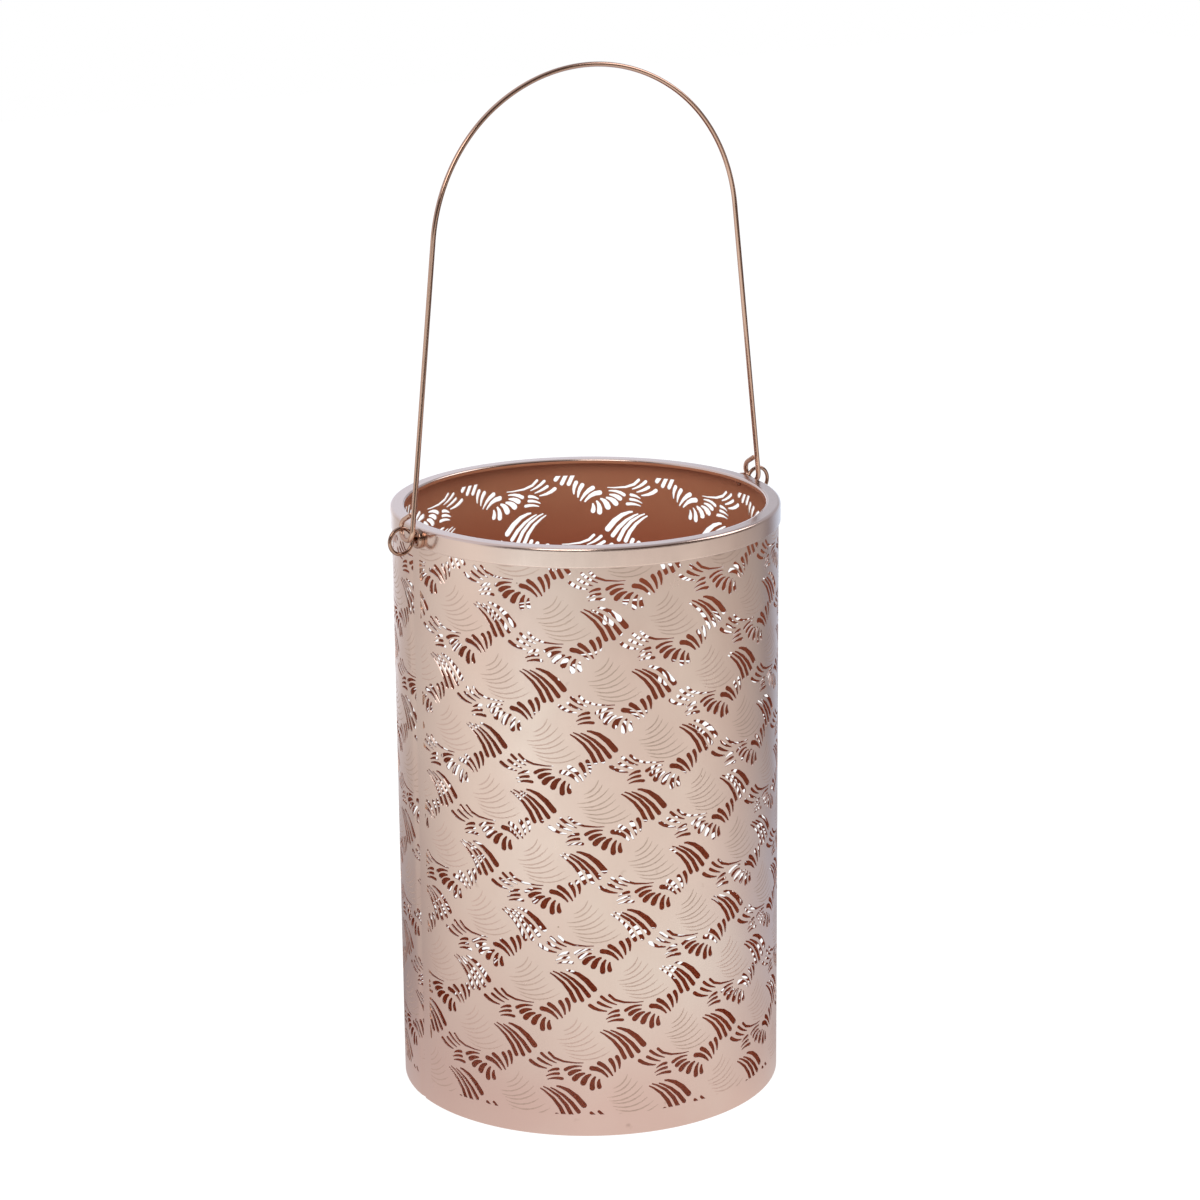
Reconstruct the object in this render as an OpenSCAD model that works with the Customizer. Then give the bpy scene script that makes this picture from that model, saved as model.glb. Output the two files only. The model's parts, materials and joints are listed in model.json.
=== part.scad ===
/* [Body] */
// Outer diameter of the rolled sheet body
body_d = 160; // [120:1:220]
// Height from the table to the top of the rim
body_h = 249; // [180:1:340]
// Thickness of the body's sheet
sheet_t = 0.5; // [0.4:0.05:1]
// Width of the lap where the sheet's two edges are joined
seam_w = 6; // [3:0.5:12]

/* [Rim] */
// Height of the band that wraps the top of the body
band_h = 8; // [7:0.5:14]
// Width of the rim's flat top, from its outer to its inner edge
rim_w = 6.2; // [4:0.1:14]
// Thickness of the rim's sheet
rim_t = 0.8; // [0.5:0.05:1.5]
// Depth of the lip that turns down inside the mouth
lip_h = 1.2; // [0.6:0.1:4]

/* [Base pan] */
// Thickness of the base pan's sheet
pan_t = 0.6; // [0.4:0.05:1.5]
// Height of the base pan's turned-up flange
flange_h = 6; // [3:0.5:9]

/* [Piercing] */
// Height of the plain strip under the piercing
plain_low = 9.4; // [9.4:0.1:30]
// Depth of the plain strip above the piercing, from the top of the rim
plain_top = 8.8; // [8.8:0.1:30]
// Height from one row of pierced fans to the next
row_h = 25.3; // [20:0.1:40]
// Width of one fan along the sheet, to which the count round the body is fitted
fan_w = 45; // [40:1:70]

/* [Eye pins] */
// Outer diameter of the ring on each eye pin
eye_d = 12.2; // [10:0.1:16]
// Diameter of the ring's wire
eye_wire_d = 1.6; // [1.2:0.1:2]
// Diameter of the shank that passes through the wall
shank_d = 1.4; // [0.8:0.1:1.5]
// Diameter of the shank's peened tail inside the wall
tail_d = 2.6; // [2.2:0.1:4]
// Thickness of the peened tail
tail_t = 0.6; // [0.3:0.1:1.2]
// Drop from the top of the rim to the shanks
pin_drop = 4.1; // [3:0.1:6]

/* [Cup washers] */
// Diameter of the cup washer under each ring
cup_d = 8.2; // [7:0.1:10]
// Height of the cup washer's rounded rim
cup_h = 2.2; // [1.4:0.1:2.6]
// Thickness of the web inside the rounded rim
cup_web_t = 0.8; // [0.4:0.1:1.2]

/* [Handle] */
// Diameter of the handle's wire
handle_wire_d = 2.1; // [1.4:0.1:2.6]
// Height of the arch's crown above the hinge axis, to the wire's centre
handle_rise = 179; // [120:1:230]
// Inward lean of each leg, in degrees
leg_lean = 5.1; // [0:0.1:8]
// Radius of the loop at the end of each leg, to the wire's centre
loop_r = 4.4; // [3.8:0.1:5.5]

/* [Hidden] */
$fn = 96;

// Clearance between pieces that are assembled but don't press
fit_gap = 0.1;
// Clearance between the handle's wire and the ring that it hangs in
hang_gap = 0.6;
// How far a cut runs past the face that it opens
overrun = 1;

// Body
body_r = body_d / 2;
body_in_r = body_r - sheet_t;
sleeve_top = body_h - rim_t;
full_turn = 360;

// Rim
band_r = body_r + rim_t;
mouth_r = band_r - rim_w;

// Eye pins and cup washers, on an axis along X
pin_z = body_h - pin_drop;
hole_d = shank_d + 2 * fit_gap;
cup_face_x = band_r + cup_h;
eye_r = (eye_d - eye_wire_d) / 2;
eye_x = cup_face_x + fit_gap + eye_d / 2;
tail_x = body_in_r - fit_gap / 2;

// Lap seam, just past the left pin's tail
seam_deg = full_turn * seam_w / (2 * PI * body_r);
seam_mid_deg = full_turn / 2 - full_turn * (seam_w / 2 + tail_d / 2 + 2 * fit_gap) / (2 * PI * body_r);

// Handle: the loop lies in the ring, and turns about the ring's wire
loop_in = eye_r - eye_wire_d / 2 - handle_wire_d / 2 - hang_gap;
loop_x = eye_x - loop_in;
hinge_z = pin_z + sqrt(eye_r * eye_r - loop_in * loop_in);
arch_r = (loop_x * cos(leg_lean) - handle_rise * sin(leg_lean)) / (1 - sin(leg_lean));
arch_z = hinge_z + handle_rise - arch_r;
leg_l = (handle_rise - arch_r * (1 - sin(leg_lean))) / cos(leg_lean);
// Angle up the loop's far side at which its curled end runs straight
curl_deg = 60;
curl_l = (loop_r * (1 + cos(curl_deg)) - handle_wire_d - fit_gap) / sin(curl_deg);
// The straight wire runs this far into the bends, so it is drawn thinner than they are
run_in = 0.3;
straight_wire_d = handle_wire_d - 2 * run_in * run_in / loop_r;

// Piercing: fans repeat along the flat sheet, and each row is shifted against the one above
fans = round((2 * PI * body_r - seam_w) / fan_w);
fan_pitch = (2 * PI * body_r - seam_w) / fans;
// How far down from the plain strip the first row's tips lie, as a share of the row's height
first_tip_share = 0.624;
// How far the cuts reach below their row's tips, as a share of the row's height
reach_share = 0.49;
rows = floor((body_h - plain_low - plain_top) / row_h + 1 - first_tip_share - reach_share);
// How far each row is shifted along the sheet, as a share of a fan
row_shift_share = 0.453;
// Where the first fan of the first row starts, as a share of a fan
first_fan_share = 0.713;
// The leaf-shaped cuts of one fan: tail x and z, widest point x and z, head x and z, width.
// Along the sheet they are shares of a fan, up and down shares of a row.
leaf_shares = [
    [0.150, 0.040, 0.305, -0.085, 0.416, -0.325, 0.040],
    [0.094, 0.016, 0.257, -0.134, 0.363, -0.427, 0.030],
    [0.028, 0.020, 0.215, -0.200, 0.297, -reach_share, 0.030],
    [0.620, 0.200, 0.520, 0.365, 0.455, 0.350, 0.034],
    [0.664, 0.221, 0.600, 0.379, 0.523, 0.466, 0.030],
    [0.687, 0.281, 0.675, 0.419, 0.629, 0.534, 0.030],
    [0.067, 0.336, -0.035, 0.385, -0.100, 0.464, 0.030],
    [0.415, 0.281, 0.342, 0.245, 0.303, 0.138, 0.034],
    [0.471, 0.261, 0.410, 0.202, 0.388, 0.051, 0.034],
];

// A wire that is bent round the origin in the XZ plane, from one angle to another
module bent_wire(bend_r, from_deg, to_deg, wire_d) {
    rotate([90, 0, 0]) rotate([0, 0, from_deg])
        rotate_extrude(angle = to_deg - from_deg) translate([bend_r, 0]) circle(d = wire_d);
}

// A quarter disc whose corner is at the origin, turned to the given quadrant
module quarter_disc(corner_r, quadrant) {
    rotate(90 * quadrant) intersection() {
        circle(r = corner_r);
        square(corner_r);
    }
}

// One leaf-shaped cut in the flat, centred on its own middle
module leaf(shares) {
    mid = leaf_middle(shares);
    tail = [shares[0] * fan_pitch, shares[1] * row_h];
    wide = [shares[2] * fan_pitch, shares[3] * row_h];
    head = [shares[4] * fan_pitch, shares[5] * row_h];
    run = head - tail;
    side = [-run[1], run[0]] / norm(run) * shares[6] * fan_pitch / 2;
    polygon([tail - mid, wide - side - mid, head - mid, wide + side - mid]);
}

function leaf_middle(shares) =
    [(shares[0] + shares[4]) / 2 * fan_pitch, (shares[1] + shares[5]) / 2 * row_h];

// Distance along the sheet from the seam's edge to the middle of a cut
function along(row, fan, shares) =
    let (raw = (first_fan_share + fan + row * row_shift_share) * fan_pitch + leaf_middle(shares)[0])
    raw - floor(raw / (fans * fan_pitch)) * fans * fan_pitch;

// Half the room that a cut takes along the sheet
function half_reach(shares) = (abs(shares[4] - shares[0]) + shares[6]) / 2 * fan_pitch;

// A shaft along X from one place to another
module shaft(from_x, to_x, shaft_d) {
    translate([from_x, 0, 0]) rotate([0, 90, 0]) cylinder(d = shaft_d, h = to_x - from_x);
}

// Rolled body sheet with its lap seam, its pierced fans and the two pin holes
module sleeve() {
    color([0.85, 0.72, 0.65]) difference() {
        union() {
            difference() {
                cylinder(r = body_r, h = sleeve_top);
                translate([0, 0, -overrun])
                    cylinder(r = body_in_r, h = sleeve_top + 2 * overrun);
            }
            seam_lap();
        }
        for (row = [0 : rows - 1], fan = [0 : fans - 1], shares = leaf_shares) {
            place = along(row, fan, shares);
            reach = half_reach(shares);
            if (place > reach && place < fans * fan_pitch - reach)
                rotate([0, 0, seam_mid_deg + seam_deg / 2 + full_turn * place / (2 * PI * body_r)])
                    translate([body_in_r - overrun, 0, tip_z(row) + leaf_middle(shares)[1]])
                    rotate([90, 0, 90]) linear_extrude(sheet_t + 2 * overrun) leaf(shares);
        }
        for (side = [0, 1]) mirror([side, 0, 0]) translate([0, 0, pin_z])
            shaft(body_in_r - overrun, body_r + overrun, hole_d);
    }
}

function tip_z(row) = body_h - plain_top - (first_tip_share + row) * row_h;

// The inner layer of the lap, from the base pan's flange up to the rim
module seam_lap() {
    translate([0, 0, flange_h + fit_gap]) rotate([0, 0, seam_mid_deg - seam_deg / 2])
        rotate_extrude(angle = seam_deg) translate([body_in_r - sheet_t, 0])
        square([sheet_t, sleeve_top - flange_h - fit_gap]);
}

// Formed rim: a band round the body, a flat top and a lip that turns down inside
module rim_collar() {
    color([0.80, 0.70, 0.70]) difference() {
        rotate_extrude() {
            translate([body_r, body_h - band_h]) square([rim_t, band_h - rim_t]);
            translate([body_r, sleeve_top]) quarter_disc(rim_t, 0);
            translate([mouth_r + rim_t, sleeve_top]) square([rim_w - 2 * rim_t, rim_t]);
            translate([mouth_r + rim_t, sleeve_top]) quarter_disc(rim_t, 1);
            translate([mouth_r, sleeve_top - lip_h]) square([rim_t, lip_h]);
        }
        for (side = [0, 1]) mirror([side, 0, 0]) translate([0, 0, pin_z])
            shaft(body_r - sheet_t, band_r + overrun, hole_d);
    }
}

// Base pan: a flat floor with a turned-up flange inside the body
module base_pan() {
    color([0.62, 0.42, 0.33]) rotate_extrude() {
        square([body_in_r - pan_t, pan_t]);
        translate([body_in_r - pan_t, pan_t]) quarter_disc(pan_t, 3);
        translate([body_in_r - pan_t, pan_t]) square([pan_t, flange_h - pan_t]);
    }
}

// Ring-headed pin: ring, shank through the wall, and peened tail inside it
module eye_pin() {
    color([0.72, 0.45, 0.32]) translate([0, 0, pin_z]) {
        translate([eye_x, 0, 0]) rotate([90, 0, 0]) rotate_extrude()
            translate([eye_r, 0]) circle(d = eye_wire_d);
        shaft(tail_x - tail_t / 2, eye_x - eye_r, shank_d);
        shaft(tail_x - tail_t, tail_x, tail_d);
    }
}

module eye_pin_right() eye_pin();

module eye_pin_left() mirror([1, 0, 0]) eye_pin();

// Cup washer: a rounded rim round a thin web, seated on the rim's band
module cup_washer() {
    edge_r = cup_h / 2;
    edge_at = cup_d / 2 - edge_r;
    color([0.74, 0.48, 0.34]) translate([band_r, 0, pin_z]) rotate([0, 90, 0]) rotate_extrude() {
        translate([edge_at, edge_r]) circle(r = edge_r);
        translate([edge_at - edge_r, 0]) square([2 * edge_r, edge_r]);
        translate([hole_d / 2, 0]) square([edge_at - hole_d / 2, cup_web_t]);
    }
}

module cup_washer_right() cup_washer();

module cup_washer_left() mirror([1, 0, 0]) cup_washer();

// A leg that hangs from the arch's end, with the loop and its straight curled end
module handle_leg() {
    rotate([0, -leg_lean, 0]) translate([arch_r, 0, -leg_l]) {
        translate([0, 0, -run_in]) cylinder(d = straight_wire_d, h = leg_l + 2 * run_in);
        translate([0, loop_r, 0]) {
            rotate(90) bent_wire(loop_r, -full_turn / 2, curl_deg, handle_wire_d);
            rotate([curl_deg, 0, 0]) translate([0, loop_r, -run_in])
                cylinder(d = straight_wire_d, h = curl_l + run_in);
        }
    }
}

// Wire handle: an arch on two legs
module handle() {
    color([0.78, 0.58, 0.47]) translate([0, -loop_r, arch_z]) {
        bent_wire(arch_r, leg_lean, full_turn / 2 - leg_lean, handle_wire_d);
        handle_leg();
        mirror([1, 0, 0]) handle_leg();
    }
}

sleeve();
rim_collar();
base_pan();
eye_pin_left();
eye_pin_right();
cup_washer_left();
cup_washer_right();
handle();
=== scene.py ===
"""Looks of a pierced candle lantern with a wire handle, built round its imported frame."""

import json
from math import ceil, cos, pi, radians, sin, tau

import bmesh
import bpy
from mathutils import Matrix, Vector
from mathutils.geometry import delaunay_2d_cdt


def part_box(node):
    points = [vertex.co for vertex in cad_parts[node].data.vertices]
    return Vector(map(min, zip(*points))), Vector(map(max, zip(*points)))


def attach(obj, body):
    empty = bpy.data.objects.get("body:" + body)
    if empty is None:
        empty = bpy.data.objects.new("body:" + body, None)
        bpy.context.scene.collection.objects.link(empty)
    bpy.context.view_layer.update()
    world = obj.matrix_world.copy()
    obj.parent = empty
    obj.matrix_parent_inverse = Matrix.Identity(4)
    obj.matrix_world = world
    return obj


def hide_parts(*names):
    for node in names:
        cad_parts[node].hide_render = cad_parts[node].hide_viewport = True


bl_info = {
    "name": "Pierced candle lantern",
    "version": (1, 0, 0),
    "blender": (4, 5, 0),
    "location": "View3D > Sidebar > Lantern",
    "description": "Builds a pierced metal candle lantern with its wire handle and studio",
    "category": "Object",
}

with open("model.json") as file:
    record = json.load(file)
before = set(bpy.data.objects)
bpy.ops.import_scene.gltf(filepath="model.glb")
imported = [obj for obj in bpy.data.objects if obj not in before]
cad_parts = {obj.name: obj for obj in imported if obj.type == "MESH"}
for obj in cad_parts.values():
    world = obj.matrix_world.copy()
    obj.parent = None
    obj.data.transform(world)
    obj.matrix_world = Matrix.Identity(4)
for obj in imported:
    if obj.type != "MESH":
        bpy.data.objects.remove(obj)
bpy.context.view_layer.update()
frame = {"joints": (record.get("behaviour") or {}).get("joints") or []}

MM = 0.001
SIDES = {"left": -1, "right": 1}
# Points closer than this are one, and shorter edges or smaller cuts are left out
WELD = 0.001 * MM
LEAST_EDGE = 0.05 * MM
LEAST_CUT = 0.12 * MM * MM


def frame_size(node, axis):
    """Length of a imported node's box along an axis, in metres."""
    low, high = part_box(node)
    return high[axis] - low[axis]


def frame_top(node):
    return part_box(node)[1].z


# The pins' boxes are as high as their rings, and the joint's place is where the loops hang
EYE_RING_D = frame_size("eye_pin_right", 2)
SWING = Vector(frame["joints"][0]["pos_m"])

# One fan of cuts, in millimetres from its tip: tail, middle, head and width of each stroke
FAN_STROKES = (
    # Long plumes that sweep down to the right
    ((6.75, 1.2), (13.0, -1.4), (19.0, -8.4), 2.5),
    ((4.25, 0.4), (11.0, -3.9), (16.4, -10.8), 1.9),
    ((1.25, 0.6), (8.75, -4.4), (13.5, -12.7), 1.85),
    ((0.0, -0.2), (6.5, -5.5), (10.4, -13.0), 1.85),
    # Short plumes that rise to the right
    ((28.1, 5.1), (24.6, 8.5), (20.3, 9.3), 2.2),
    ((30.0, 5.6), (27.1, 9.6), (23.6, 11.8), 2.0),
    ((31.0, 7.1), (30.3, 10.6), (28.4, 13.5), 1.9),
    ((32.75, 8.6), (32.6, 11.9), (31.2, 14.7), 1.8),
    # Wing that reaches up to the left
    ((3.0, 8.7), (-1.25, 9.7), (-4.6, 12.0), 1.7),
    ((5.15, 10.0), (1.9, 11.2), (-1.25, 13.1), 1.4),
    ((7.1, 11.3), (3.3, 13.0), (0.25, 15.6), 1.4),
    ((18.1, 11.7), (8.5, 12.5), (3.75, 16.0), 1.3),
    # Three small bars
    ((3.25, 7.2), (5.6, 8.4), (8.3, 8.7), 1.4),
    ((2.45, 5.2), (5.3, 6.4), (8.5, 6.7), 1.3),
    ((3.1, 3.9), (6.5, 4.7), (10.0, 4.4), 1.4),
    # Scallop of drops that turns from level to upright
    ((17.5, 10.2), (13.4, 9.9), (10.0, 8.1), 1.6),
    ((17.25, 8.5), (14.2, 7.9), (11.7, 6.1), 2.1),
    ((18.75, 7.1), (15.7, 6.0), (13.7, 3.5), 2.5),
    ((21.25, 6.6), (18.8, 4.9), (17.5, 1.3), 2.6),
    ((23.0, 5.7), (21.6, 3.0), (21.8, -0.9), 2.3),
    ((24.6, 4.6), (24.2, 2.4), (24.9, 0.0), 2.0),
)
# Left and right ends of the fine etched lines that hang above one fan's tip
ETCHED_LINES = (
    ((10.0, 25.5), (15.9, 31.4)),
    ((10.15, 23.75), (17.5, 29.5)),
    ((7.3, 21.7), (20.2, 28.0)),
    ((8.0, 20.1), (22.2, 25.7)),
    ((9.4, 19.15), (22.8, 23.0)),
    ((9.7, 17.7), (24.3, 20.4)),
    ((10.9, 16.1), (26.9, 18.4)),
    ((12.1, 14.55), (29.0, 16.6)),
)
# Share of a stroke's width that it has at each share of its length, before its round head
STROKE_SHARES = ((0.14, 0.46), (0.42, 0.73), (0.72, 0.94), (1.0, 1.0))
TAIL_SHARE = 0.3


def size_prop(name, description, default):
    return bpy.props.FloatProperty(
        name=name, description=description, default=default, unit="LENGTH", precision=5)


def angle_prop(name, description, default):
    return bpy.props.FloatProperty(
        name=name, description=description, default=default, unit="ROTATION", precision=5)


def number_prop(name, description, default):
    return bpy.props.FloatProperty(name=name, description=description, default=default)


def colour_prop(name, description, default):
    return bpy.props.FloatVectorProperty(
        name=name, description=description, subtype="COLOR", default=default)


class LanternSizes(bpy.types.PropertyGroup):
    """Sizes of the lantern's pieces."""

    sheet_t: size_prop("Sheet thickness", "Thickness of the body's sheet", 0.5 * MM)
    columns: bpy.props.IntProperty(
        name="Columns", description="Flat strips that the round sheet is made of", default=120)
    row_height: size_prop("Row height", "Height from one row of fans to the next", 25.37 * MM)
    fans: bpy.props.IntProperty(
        name="Fans", description="Fans in a row round the body", default=11)
    row_shift: number_prop(
        "Row shift", "Shift of each row along the sheet, as a share of a fan", 0.448)
    first_fan: number_prop("First fan", "Where the first row starts, as a share of a fan", 0.706)
    first_tip: size_prop("First tip", "Height of the first row's tips", 223.5 * MM)
    plain_low: size_prop("Plain foot", "Height of the plain strip under the piercing", 9.4 * MM)
    pattern_top: size_prop("Piercing top", "Height at which the piercing ends", 240.6 * MM)
    seam_w: size_prop("Lap width", "Width of the seam's lap", 6 * MM)
    seam_angle: angle_prop(
        "Seam angle", "Where the lap's outer edge stands, from the right pin", radians(175.2))
    seam_dip_w: size_prop(
        "Seam dip", "Width over which the sheet dips under its own edge", 6 * MM)
    seam_plain: number_prop("Plain lap", "Share of the lap's width that isn't pierced", 0.87)
    etched_w: size_prop("Etched line", "Width of the fine etched lines", 0.75 * MM)
    etched_h: size_prop("Etched relief", "Relief of the fine etched lines", 0.03 * MM)
    rim_t: size_prop("Rim thickness", "Thickness of the rim's sheet", 0.8 * MM)
    rim_w: size_prop("Rim width", "Width of the rim's flat top", 6.2 * MM)
    rim_round: size_prop("Rim rounding", "Radius of the rim's outer edge", 1.2 * MM)
    lip_h: size_prop("Lip", "Depth of the lip inside the mouth", 1.2 * MM)
    pan_t: size_prop("Pan thickness", "Thickness of the base pan", 0.6 * MM)
    pan_round: size_prop("Pan rounding", "Radius of the base pan's upper edges", 0.2 * MM)
    eye_wire_d: size_prop("Ring wire", "Diameter of the rings' wire", 1.6 * MM)
    shank_d: size_prop("Shank", "Diameter of the pins' shanks", 1.4 * MM)
    hole_gap: size_prop("Hole gap", "Gap between a shank and its holes", 0.1 * MM)
    tail_d: size_prop("Tail", "Diameter of the pins' domed tails", 2.6 * MM)
    tail_t: size_prop("Tail thickness", "Thickness of the pins' domed tails", 0.6 * MM)
    tail_round: size_prop("Tail rounding", "Radius of the tails' edges", 0.45 * MM)
    cup_web_t: size_prop("Washer web", "Thickness of the washers round the hole", 0.8 * MM)
    cup_slope: size_prop("Washer slope", "Inward run of the washers' inner sides", 0.3 * MM)
    handle_wire_d: size_prop("Handle wire", "Diameter of the handle's wire", 2.1 * MM)
    leg_lean: angle_prop("Leg lean", "Inward lean of the handle's legs", radians(6.2))
    crown_r: size_prop("Crown radius", "Radius of the handle's flatter crown", 78.3 * MM)
    crown_turn: angle_prop(
        "Crown turn", "Turn of the crown's arc on each side of the top", radians(33.1))
    loop_r: size_prop("Loop radius", "Radius of the handle's loops", 4.4 * MM)
    curl_angle: angle_prop(
        "Curl", "How far up the loop's far side the wire runs straight", radians(60))
    curl_gap: size_prop("Curl gap", "Gap between the curled end and its leg", 0.1 * MM)


class LanternFinish(bpy.types.PropertyGroup):
    """Colours of the lantern's finishes."""

    rose: colour_prop("Rose copper", "Satin plating outside", (0.80, 0.585, 0.49))
    cream: colour_prop("Cream", "Paler patches of the plating", (0.82, 0.625, 0.525))
    rim: colour_prop("Rim", "Plating of the rim", (0.80, 0.60, 0.51))
    # Inside, these three colours paint light and shade by height: inner is painted light, paler
    # copper near the mouth where light falls in; deep is a darker, redder painted shade further
    # down; low is a brighter, warmer painted light near the base
    inner: colour_prop("Inside", "Matt copper inside the mouth", (0.51, 0.212, 0.112))
    deep_painted_shade: colour_prop("Deep inside", "Redder copper further down", (0.42, 0.115, 0.052))
    # Painted light: brighter, warmer copper near the base
    low: colour_prop("Low inside", "Warmer copper near the base", (0.68, 0.215, 0.10))
    wire: colour_prop("Wire", "Polished wire of the handle", (0.62, 0.39, 0.29))
    fittings: colour_prop(
        "Fittings", "Darker plating of the pins and washers", (0.42, 0.25, 0.18))
    etched: colour_prop("Etched lines", "Duller metal of the etched lines", (0.69, 0.51, 0.41))
    stain: colour_prop("Stain", "Small marks on the plating", (0.33, 0.20, 0.13))


class Expr:
    """A shader socket whose arithmetic adds Math nodes."""

    def __init__(self, shader, socket):
        self.shader = shader
        self.socket = socket

    def math(self, operation, *others):
        return self.shader.node(
            "ShaderNodeMath", {"operation": operation}, {0: self, **dict(enumerate(others, 1))})

    def math_after(self, operation, first):
        """The same with the other value first."""
        return self.shader.node("ShaderNodeMath", {"operation": operation}, {0: first, 1: self})

    def __add__(self, other):
        return self.math("ADD", other)

    __radd__ = __add__

    def __mul__(self, other):
        return self.math("MULTIPLY", other)

    __rmul__ = __mul__

    def __sub__(self, other):
        return self.math("SUBTRACT", other)

    def __rsub__(self, other):
        return self.math_after("SUBTRACT", other)

    def __truediv__(self, other):
        return self.math("DIVIDE", other)

    def __rtruediv__(self, other):
        return self.math_after("DIVIDE", other)

    def __lt__(self, other):
        return self.math("LESS_THAN", other)

    def __gt__(self, other):
        return self.math("GREATER_THAN", other)

    def smooth(self, low, high):
        """0 below low, 1 above high and an easy slope between."""
        settings = {"interpolation_type": "SMOOTHSTEP"}
        return self.shader.node("ShaderNodeMapRange", settings, {0: self, 1: low, 2: high})


class Shader:
    """Makes the nodes of one material or world."""

    def __init__(self, owner):
        owner.use_nodes = True
        self.tree = owner.node_tree
        self.tree.nodes.clear()

    def node(self, kind, settings=None, sockets=None, output=0):
        made = self.tree.nodes.new(kind)
        for name, value in (settings or {}).items():
            if name == "stops":
                self.stops(made, value)
            else:
                setattr(made, name, value)
        for key, value in (sockets or {}).items():
            if isinstance(value, Expr):
                self.tree.links.new(value.socket, made.inputs[key])
            else:
                made.inputs[key].default_value = value
        return Expr(self, made.outputs[output])

    def stops(self, ramp, stops):
        elements = ramp.color_ramp.elements
        while len(elements) < len(stops):
            elements.new(1)
        for element, (place, colour) in zip(elements, stops):
            element.position = place
            element.color = (*colour, 1)

    def place(self, stretch=(1, 1, 1)):
        """The point on the piece, stretched along each axis."""
        point = self.node("ShaderNodeTexCoord", output="Object")
        return self.node("ShaderNodeMapping", None, {0: point, "Scale": stretch})

    def noise(self, size, detail=2, stretch=(1, 1, 1)):
        """Noise from 0 to 1 with patches of about the given size."""
        sockets = {"Vector": self.place(stretch), "Scale": 1 / size, "Detail": detail}
        return self.node("ShaderNodeTexNoise", None, sockets)

    def specks(self, spacing, radius, share):
        """Round spots in a share of the cells of a grid with the given spacing."""
        sockets = {"Vector": self.place(), "Scale": 1 / spacing}
        cells = self.node("ShaderNodeTexVoronoi", None, sockets)
        tint = Expr(self, cells.socket.node.outputs["Color"])
        channels = self.node("ShaderNodeSeparateColor", None, {0: tint})
        near = 1 - cells.smooth(radius / spacing * 0.4, radius / spacing)
        return near * (channels < share)

    def mix(self, factor, first, second):
        """Colour between first and second."""
        made = self.tree.nodes.new("ShaderNodeMix")
        made.data_type = "RGBA"
        for key, value in (("Factor", factor), (6, first), (7, second)):
            if isinstance(value, Expr):
                self.tree.links.new(value.socket, made.inputs[key])
            elif key == "Factor":
                made.inputs[key].default_value = value
            else:
                made.inputs[key].default_value = (*value, 1)
        return Expr(self, made.outputs[2])

    def output(self, kind, surface):
        made = self.tree.nodes.new(kind)
        self.tree.links.new(surface.socket, made.inputs["Surface"])


def plated(name, base, patches, roughness, stain=None):
    """Satin plated metal: cloudy tint, fine upright grain, and small marks."""
    material = bpy.data.materials.new(name)
    shader = Shader(material)
    cloud = shader.noise(size=45 * MM, detail=3)
    grain = shader.noise(size=0.6 * MM, stretch=(1, 1, 0.06))
    haze = shader.noise(size=12 * MM, detail=4)
    colour = shader.mix(cloud.smooth(0.35, 0.68), base, patches)
    if stain:
        marks = shader.specks(spacing=11 * MM, radius=0.5 * MM, share=0.10) * 0.75
        smears = shader.noise(size=9 * MM, detail=5).smooth(0.69, 0.80) * 0.35
        colour = shader.mix(marks, colour, stain)
        colour = shader.mix(smears, colour, stain)
    rough = roughness + (haze - 0.5) * 0.10 + (grain - 0.5) * 0.06
    ripple = shader.noise(size=4 * MM) * 2
    bump = shader.node(
        "ShaderNodeBump", None,
        {"Strength": 0.02, "Distance": 0.05 * MM, "Height": grain + ripple})
    surface = shader.node(
        "ShaderNodeBsdfPrincipled", None,
        {"Base Color": colour, "Metallic": 1, "Roughness": rough, "Normal": bump})
    shader.output("ShaderNodeOutputMaterial", surface)
    return material


def matt_copper(name, finish):
    """Dull copper paint with a fine tooth, with painted light and shade by height: paler near the
    mouth, a redder painted shade down inside and brighter, warmer painted light near the base.
    """
    material = bpy.data.materials.new(name)
    shader = Shader(material)
    point = shader.node("ShaderNodeTexCoord", output="Object")
    height = shader.node("ShaderNodeSeparateXYZ", None, {0: point}, output="Z")
    # Painted light near the base and near the mouth, painted shade between them, by height
    colour = shader.mix(height.smooth(20 * MM, 160 * MM), finish.low, finish.deep_painted_shade)
    colour = shader.mix(height.smooth(200 * MM, 240 * MM), colour, finish.inner)
    # Random cloudy patches of that darker copper
    cloud = shader.noise(size=30 * MM, detail=3).smooth(0.3, 0.7) * 0.25
    colour = shader.mix(cloud, colour, finish.deep_painted_shade)
    tooth = shader.noise(size=0.7 * MM, detail=3)
    bump = shader.node(
        "ShaderNodeBump", None, {"Strength": 0.15, "Distance": 0.1 * MM, "Height": tooth})
    surface = shader.node(
        "ShaderNodeBsdfPrincipled", None,
        {"Base Color": colour, "Metallic": 0.15, "Roughness": 0.52 + (tooth - 0.5) * 0.1,
         "Normal": bump})
    shader.output("ShaderNodeOutputMaterial", surface)
    return material


def make_piece(name, bm, materials, slot, *nodes, body="body"):
    """Turns a bmesh into a piece that rides on a body and stands for the named nodes."""
    mesh = bpy.data.meshes.new(name)
    bm.to_mesh(mesh)
    bm.free()
    for material in materials:
        mesh.materials.append(material)
    piece = bpy.data.objects.new(name, mesh)
    bpy.context.scene.collection.objects.link(piece)
    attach(piece, body)
    if nodes:
        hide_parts(*nodes)
    return piece


def shade_round(piece, angle=35):
    """Smooth shading with sharp edges past the given angle, in degrees."""
    for face in piece.data.polygons:
        face.use_smooth = True
    piece.data.set_sharp_from_angle(angle=radians(angle))


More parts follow.
